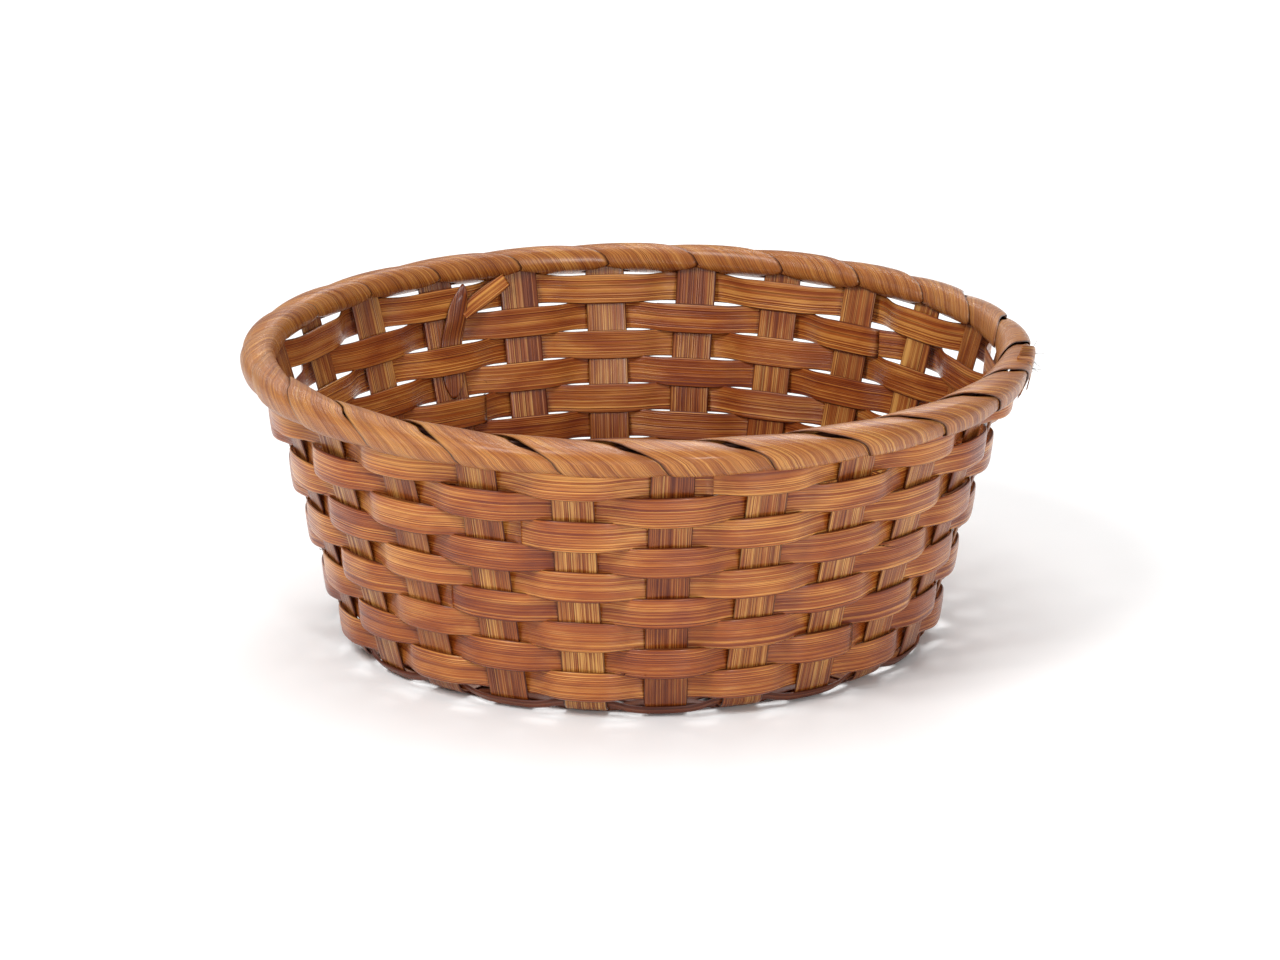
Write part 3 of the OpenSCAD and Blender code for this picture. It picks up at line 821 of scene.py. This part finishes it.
# %% Lay the lashing
LASH_T = 0.6 * MM
LASH_LOW_W, LASH_WIDE_W = 12.6 * MM, 32.5 * MM
LASH_WAIST = 0.055
LASH_STEPS = 30
LASH_OPEN = 0.08
LASH_DWELL = 1.12
LOOP_POWER, FACE_POWER = 0.72, 1.28
LASH_CUP, LASH_ROLL, LASH_PRESS = 0.55 * MM, -0.46 * MM, -0.1 * MM
SLACK_LOW, SLACK_HIGH = 1.5, 5.5

loop_in = -(STAKE_T / 2 + FIT + HOOP_T) - 0.15 * MM - LASH_T / 2 - 0.55 * MM
rod_out = math.hypot(ROD_R - MOUTH_R, ROD_Z - RIM_Z)
loop_far = rod_out + ROD_D / 2 + 0.30 * MM + LASH_T / 2
LOOP_OUT, LOOP_A = (loop_far + loop_in) / 2, (loop_far - loop_in) / 2
LOOP_B = ROD_D / 2 + 0.15 * MM + LASH_T / 2 + 1.0 * MM


def bent(value, power):
    """A power that keeps its value's sign."""
    return np.sign(value) * np.abs(value) ** power


def lay_lashing():
    turns = LASH_OPEN + (STAKES - 2 * LASH_OPEN) * np.linspace(0, 1, STAKES * LASH_STEPS + 1)
    turns = np.concatenate([[turns[0]], turns[:1] + 0.002, turns[1:-1], turns[-1:] - 0.002, [turns[-1]]])
    wrap = 2 * math.pi * turns
    middle = STEP * (turns - LASH_DWELL * np.sin(wrap) / (2 * math.pi))
    t = -math.pi / 2 - wrap
    round_rim = 2 * math.pi * turns / STAKES
    loose = 1 + wander(round_rim, 601, 0.03, (7, 11, 17, 24)) + 0.02 * np.sin(wrap * 0.5 + 1)
    away = LOOP_OUT + LOOP_A * bent(np.cos(t), LOOP_POWER) * loose
    up = LOOP_B * bent(np.sin(t), LOOP_POWER) * loose
    face_out = bent(np.cos(t), FACE_POWER) / LOOP_A
    face_up = bent(np.sin(t), FACE_POWER) / LOOP_B
    size = np.hypot(face_out, face_up)
    face_out, face_up = face_out / size, face_up / size
    share = (1 - np.cos(wrap)) / 2
    # Pinched where it goes through the wall, and slack enough over the top to leave a thin slit there
    from_waist = np.abs((turns - LASH_WAIST + 0.5) % 1 - 0.5)
    wide = LASH_LOW_W + (LASH_WIDE_W - LASH_LOW_W) * (1 - np.exp(-(from_waist / 0.085) ** 2))
    over_top = np.exp(-(((turns % 1) - 0.50) / 0.13) ** 2)
    slack = np.random.default_rng(7).uniform(SLACK_LOW, SLACK_HIGH, STAKES)
    wide -= slack[np.clip(turns.astype(int), 0, STAKES - 1)] * MM * over_top
    middle = middle + wander(round_rim, 621, 0.5 * MM / MOUTH_R, (8, 12, 21))
    radius = MOUTH_R + away * math.cos(LEAN) + up * math.sin(LEAN)
    height = RIM_Z - away * math.sin(LEAN) + up * math.cos(LEAN)
    out = columns(0 * turns, face_out * math.cos(LEAN) + face_up * math.sin(LEAN),
                    -face_out * math.sin(LEAN) + face_up * math.cos(LEAN))
    across = np.tile([1.0, 0.0, 0.0], (len(turns), 1))
    free = 1 - np.exp(-(from_waist / 0.1) ** 2)
    lift = LASH_PRESS * share
    half_t = blunt_ends(np.full(len(turns), LASH_T / 2))
    # Painted shade, darkest at the bottom of each wrap where it passes under the rim through the wall, and
    # uneven stain along it
    stain_and_shade = np.clip(0.28 * (1 - share) ** 2 + wander(round_rim, 631, 0.05, (20, 33, 41)), 0, 0.7)
    tone = 0.55 + wander(round_rim, 641, 0.12, (5, 9, 14, 24))
    points = columns(middle, radius + out[:, 1] * lift, height + out[:, 2] * lift)
    piece = lay_strip(
        "rim_wrapping", points, across, out, wide / 2, half_t, rim_bamboo, round_points=61, seed=90,
        tone=tone, stain_and_shade=stain_and_shade, cup=LASH_CUP * free, roll=LASH_ROLL * free, ridge_depth=0.07, ridge_width=0.9,
        ridge_length=200, edge=0.015)
    hand_over(piece, "rim_lashing_bamboo", "rim_lashing")


lay_lashing()

# %% [markdown]
# ## The tucked splint
#
# One short splint was pushed in beside a stake to fill it out. Its point shows below the row that holds it,
# and its top, split and twisted by the pliers, stands in front of the row at the rim.

# %% Lay the tucked splint
def lay_tuck():
    angle = (TUCK_STAKE + 0.5) * STEP
    away = np.array([math.cos(angle), math.sin(angle), 0])
    along = np.array([-math.sin(angle), math.cos(angle), 0])
    up = np.array([0, 0, 1.0])
    low = row_z[TUCK_ROW] - WEAVER_W / 2 + 0.5 * MM
    tip = row_z[0] + WEAVER_W / 2 + 0.6 * MM
    against = STAKE_T / 2 + FIT + TUCK_T / 2
    front = weaver_lift + WEAVER_T / 2 + 0.15 * MM + TUCK_T / 2
    corners = [
        [low, against, 0.25, 0.0, 0.0],
        [low + 4.5 * MM, against, 1.0, 0.0, -0.8],
        [row_z[2], against + 0.05 * MM, 1.1, 0.0, -1.5],
        [row_z[2] + WEAVER_W / 2 + 0.5 * MM, against + 0.15 * MM, 1.12, 0.0, -2.3],
        [row_z[0] - WEAVER_W / 2 - 0.8 * MM, front - 0.2 * MM, 1.05, 0.06, -4.0],
        [row_z[0], front + 0.75 * MM, 0.78, 0.3, -5.6],
        [tip - 1.5 * MM, front + 1.3 * MM, 0.38, 0.8, -7.0],
        [tip, front + 1.2 * MM, 0.1, 1.0, -7.6],
    ]
    path = smooth_through([[z, 0, 0, *rest] for z, *rest in corners], 0.6 * MM)
    z, inward, width, twist, shift = path[:, 0], path[:, 3], path[:, 4], path[:, 5], path[:, 6]
    radius = wall_radius(z)
    inner = -away * math.cos(LEAN) + up * math.sin(LEAN)
    slope = away * math.sin(LEAN) + up * math.cos(LEAN)
    points = away * radius[:, None] + up * z[:, None] + inner * inward[:, None] + along * shift[:, None] * MM
    # Across runs so that along, across and outward make a right-handed set with the face turned inwards
    across = -along * np.cos(twist)[:, None] + inner * np.sin(twist)[:, None]
    out = inner * np.cos(twist)[:, None] + along * np.sin(twist)[:, None]
    half_w = TUCK_W / 2 * width
    half_t = blunt_ends(np.full(len(points), TUCK_T / 2))
    piece = lay_strip(
        "tucked_strip", points, across, out, half_w, half_t, stake_bamboo, rolled_up=False,
        round_points=49, seed=95, tone=0.42, stain_and_shade=0.22, ridge_width=0.6, edge=0.06)
    hand_over(piece, "stake_bamboo", "tucked_splint")


lay_tuck()

# %% [markdown]
# ## Cut and torn ends
#
# A real basket shows where its strips begin and end. Beside the tucked splint, the end of a weaver was
# turned up over the row at the rim and cut. At one side of the rim the lashing itself ends, and its torn
# tip splits into slivers. Each is a short strip laid across the wall, so its route is given as a few
# places, each with its stake, height, distance out from the wall and half width.

# %% Short strips laid over the wall
def over_wall(name, places, material, slot, width_way, node, thick=0.5 * MM, seed=0, tone=0.5, stain_and_shade=0.1):
    """Each place is [stake, height, out from the stakes' middle, half width], in stakes and mm."""
    corners = []
    for stake, height, away, half in places:
        angle, z = (stake + 0.5) * STEP, height * MM
        radius = wall_radius(z) + away * MM
        corners.append([radius * math.cos(angle), radius * math.sin(angle), z, half, angle])
    path = smooth_through(corners, 0.8 * MM)
    path = np.vstack([path[:1], path[:1] + (path[1] - path[0]) * 0.2, path[1:]])
    points, angle = path[:, :3], path[:, 4]
    ahead = unit(np.gradient(points, axis=0))
    out = columns(np.cos(angle) * math.cos(LEAN), np.sin(angle) * math.cos(LEAN),
                    np.full_like(angle, -math.sin(LEAN))) * width_way
    out -= ahead * np.sum(out * ahead, axis=1, keepdims=True)
    out = unit(out)
    across = np.cross(out, ahead)
    piece = lay_strip(name, points, across, out, path[:, 3] * MM, blunt_ends(np.full(len(points), thick / 2)),
                      material, rolled_up=False, round_points=33, seed=seed, tone=tone, stain_and_shade=stain_and_shade,
                      ridge_width=0.6, ridge_length=150, edge=0.06)
    hand_over(piece, slot, *node)


# %% The turned-up end beside the tucked splint
row_top = row_z[0] / MM + 4.4
over_wall("turned_up_end", [
    [TUCK_STAKE - 0.24, row_top - 7.4, -3.0, 1.9], [TUCK_STAKE - 0.40, row_top - 4.8, -3.4, 2.6],
    [TUCK_STAKE - 0.60, row_top - 2.0, -3.6, 2.7], [TUCK_STAKE - 0.84, row_top + 1.2, -2.9, 2.2]],
    side_bamboo, "side_weaver_bamboo", -1, ["side_weaver_1"], seed=101, tone=0.8, stain_and_shade=0.0)

# %% The torn end of the lashing
TORN_STAKE = 23.3
SLIVERS, SLIVER_STEP = 7, 0.062
rim_top = RIM_Z / MM
chance = np.random.default_rng(12)
for sliver in range(SLIVERS):
    aside = (sliver - SLIVERS // 2) * SLIVER_STEP
    length = chance.uniform(5.5, 12.5)
    start = [TORN_STAKE + aside - 0.30, rim_top + 4.1, 2.3, 1.1]
    middle = [TORN_STAKE + aside - 0.12, rim_top + 2.2, 6.4, 1.15]
    turn = [TORN_STAKE + aside, rim_top - 1.6, 7.2, 1.0]
    last_z = rim_top - 1.6 - length
    end = [TORN_STAKE + aside + 0.16, last_z, 6.6 + chance.uniform(-0.3, 1.2), 0.25]
    over_wall(
        f"torn_sliver_{sliver + 1}", [start, middle, turn, end], rim_bamboo, "rim_lashing_bamboo", 1,
        ["rim_lashing"], thick=0.35 * MM, seed=110 + sliver, tone=0.55 + chance.uniform(-0.15, 0.15))

# %% [markdown]
# ## Loose fibres
#
# Split bamboo frays. Hair-thin fibres stand off the cut ends and off the edge of the base, and a few are
# long enough to see. Each is a line of points that bends as it grows, and a Geometry Nodes tree gives all the
# lines a round section that tapers to the tip.

# %% The fibre tree
def fibre_tree():
    tree = bpy.data.node_groups.new("loose_fibres", "GeometryNodeTree")
    tree.interface.new_socket("Geometry", in_out="INPUT", socket_type="NodeSocketGeometry")
    tree.interface.new_socket("Thickness", in_out="INPUT", socket_type="NodeSocketFloat")
    tree.interface.new_socket("Material", in_out="INPUT", socket_type="NodeSocketMaterial")
    tree.interface.new_socket("Geometry", in_out="OUTPUT", socket_type="NodeSocketGeometry")
    given = add(tree, "NodeGroupInput").outputs
    lines = add(tree, "GeometryNodeMeshToCurve", {"Mesh": given["Geometry"]})
    along = add(tree, "GeometryNodeSplineParameter").outputs["Factor"]
    taper = add(tree, "ShaderNodeMapRange", {"Value": along, "To Min": 1.0, "To Max": 0.25}).outputs["Result"]
    half = add(tree, MATH, {0: given["Thickness"], 1: 0.5}, operation="MULTIPLY")
    section = add(tree, "GeometryNodeCurvePrimitiveCircle", {"Resolution": 6, "Radius": half})
    solid = add(tree, "GeometryNodeCurveToMesh", {
        "Curve": lines, "Profile Curve": section, "Scale": taper, "Fill Caps": True})
    smooth = add(tree, "GeometryNodeSetShadeSmooth", {"Geometry": solid})
    real = add(tree, "GeometryNodeRealizeInstances", {"Geometry": smooth})
    finished = add(tree, "GeometryNodeSetMaterial", {"Geometry": real, "Material": given["Material"]})
    add(tree, "NodeGroupOutput", {"Geometry": finished})
    return tree


FIBRE_TREE = fibre_tree()

# %% Grow the fibres
FIBRES, FIBRE_POINTS = 64, 9
FIBRE_W = 0.22 * MM


def grow_fibres(count, seed):
    """Most fibres stand along the foot of the wall, and the rest at rows' cut ends and at the rim."""
    chance = np.random.default_rng(seed)
    points, lines = [], []
    for number in range(count):
        kind = number % 4
        if kind < 2:
            angle, z = chance.uniform(0, 2 * math.pi), chance.uniform(1.0, 3.4) * MM
            radius = wall_radius(z) - 1.5 * MM
        elif kind == 2:
            row = chance.integers(0, ROWS)
            angle = (LAP_STARTS[row] + 0.1 + chance.uniform(-0.1, 0.1)) * STEP
            z = row_z[row] + chance.choice([-1, 1]) * chance.uniform(3.0, 4.3) * MM
            radius = wall_radius(z) + 1.6 * MM
        else:
            angle = (TORN_STAKE + 0.5 + chance.uniform(-0.4, 0.6)) * STEP
            z = RIM_Z + chance.uniform(-4, 2) * MM
            radius = wall_radius(z) + 6.6 * MM
        spot = np.array([radius * math.cos(angle), radius * math.sin(angle), z])
        away = np.array([math.cos(angle), math.sin(angle), 0])
        side = np.array([-math.sin(angle), math.cos(angle), 0]) * chance.choice([-1, 1])
        heading = side * chance.uniform(0.6, 1) + away * chance.uniform(0.1, 0.5)
        heading[2] = chance.uniform(-0.25, 0.35) if z > 8 * MM else chance.uniform(0.0, 0.12)
        bend = chance.normal(0, 0.10, 3)
        bend[2] = abs(bend[2]) if z < 8 * MM else bend[2]
        step = chance.uniform(0.35, 0.9) * MM
        first = len(points)
        for _ in range(FIBRE_POINTS):
            points.append(tuple(spot))
            heading = heading + bend
            spot = spot + heading / np.linalg.norm(heading) * step
        lines += [(i, i + 1) for i in range(first, len(points) - 1)]
    mesh = bpy.data.meshes.new("loose_fibres")
    mesh.from_pydata(points, lines, [])
    piece = bpy.data.objects.new("loose_fibres", mesh)
    bpy.context.collection.objects.link(piece)
    made = make_plain(piece, FIBRE_TREE, {"Thickness": FIBRE_W, "Material": stake_bamboo})
    hand_over(made, "base_weaver_bamboo", "fold_weaver")


grow_fibres(FIBRES, 21)

# %% [markdown]
# ## Floor, light and camera
#
# A product of this kind is shown on a plain pale sweep. One large soft light stands high to the left and
# picks out the ridges on the rim and wall. A small low one on the right draws the highlights along the
# fibres, one behind lights the inside of the near wall, one overhead opens up the hollow, and the pale
# surroundings fill the rest.

# %% The floor
def floor_material():
    material = bpy.data.materials.new("pale_paper_sweep")
    material.use_nodes = True
    shader = material.node_tree.nodes["Principled BSDF"]
    shader.inputs["Base Color"].default_value = linear("#fafafa")
    shader.inputs["Roughness"].default_value = 0.9
    return material


FLOOR_HALF = 4.0
floor_mesh = bpy.data.meshes.new("floor")
floor_mesh.from_pydata(
    [(-FLOOR_HALF, -FLOOR_HALF, 0), (FLOOR_HALF, -FLOOR_HALF, 0), (FLOOR_HALF, FLOOR_HALF, 0),
     (-FLOOR_HALF, FLOOR_HALF, 0)], [], [(0, 1, 2, 3)])
floor_mesh.materials.append(floor_material())
floor = bpy.data.objects.new("floor", floor_mesh)
bpy.context.collection.objects.link(floor)
floor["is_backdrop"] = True

# %% The lights
world = bpy.data.worlds.new("studio")
world.use_nodes = True
world.node_tree.nodes["Background"].inputs["Color"].default_value = (1.0, 1.0, 1.0, 1.0)
world.node_tree.nodes["Background"].inputs["Strength"].default_value = 0.45
bpy.context.scene.world = world
bpy.context.scene.view_settings.view_transform = "Standard"


def soft_light(name, place, power, size, aim=(0, 0, 0.04)):
    lamp = bpy.data.lights.new(name, "AREA")
    lamp.energy = power
    lamp.shape = "DISK"
    lamp.size = size
    made = bpy.data.objects.new(name, lamp)
    made.location = place
    made.rotation_euler = (Vector(aim) - Vector(place)).to_track_quat("-Z", "Y").to_euler()
    bpy.context.collection.objects.link(made)
    return made


soft_light("key_light", (-0.85, -1.1, 1.5), 24, 0.8)
soft_light("side_light", (0.62, -1.47, 0.45), 7.5, 0.2)
soft_light("back_light", (0.30, 1.30, 1.15), 8, 0.7)
soft_light("top_light", (0.0, 0.2, 1.8), 11, 1.3)

# %% The camera
CAMERA_DISTANCE = 1.648
CAMERA_ELEVATION = math.radians(16.65)
CAMERA_AZIMUTH = math.radians(2.22)
CAMERA_TARGET = Vector((0.0009, 0, 0.0441))
LENS_MM, FILM_MM = 157.7, 36

lens = bpy.data.cameras.new("camera")
lens.lens = LENS_MM
lens.sensor_width = FILM_MM
lens.clip_end = 20
camera = bpy.data.objects.new("camera", lens)
back = Vector((math.sin(CAMERA_AZIMUTH) * math.cos(CAMERA_ELEVATION),
               -math.cos(CAMERA_AZIMUTH) * math.cos(CAMERA_ELEVATION), math.sin(CAMERA_ELEVATION)))
camera.location = CAMERA_TARGET + back * CAMERA_DISTANCE
camera.rotation_euler = (-back).to_track_quat("-Z", "Y").to_euler()
bpy.context.collection.objects.link(camera)
bpy.context.scene.camera = camera

# %% [markdown]
# ## Size and finish
#
# The frame's box and the pieces' box are printed side by side.

# %% Sizes and the last call
visual_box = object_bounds()
print(f"{sum(finished.values())} faces in {len(finished)} pieces")
for name, corners in (("frame", cad_box), ("pieces", visual_box)):
    print(name, [round((high - low) / MM, 1) for low, high in zip(*corners)], "mm")
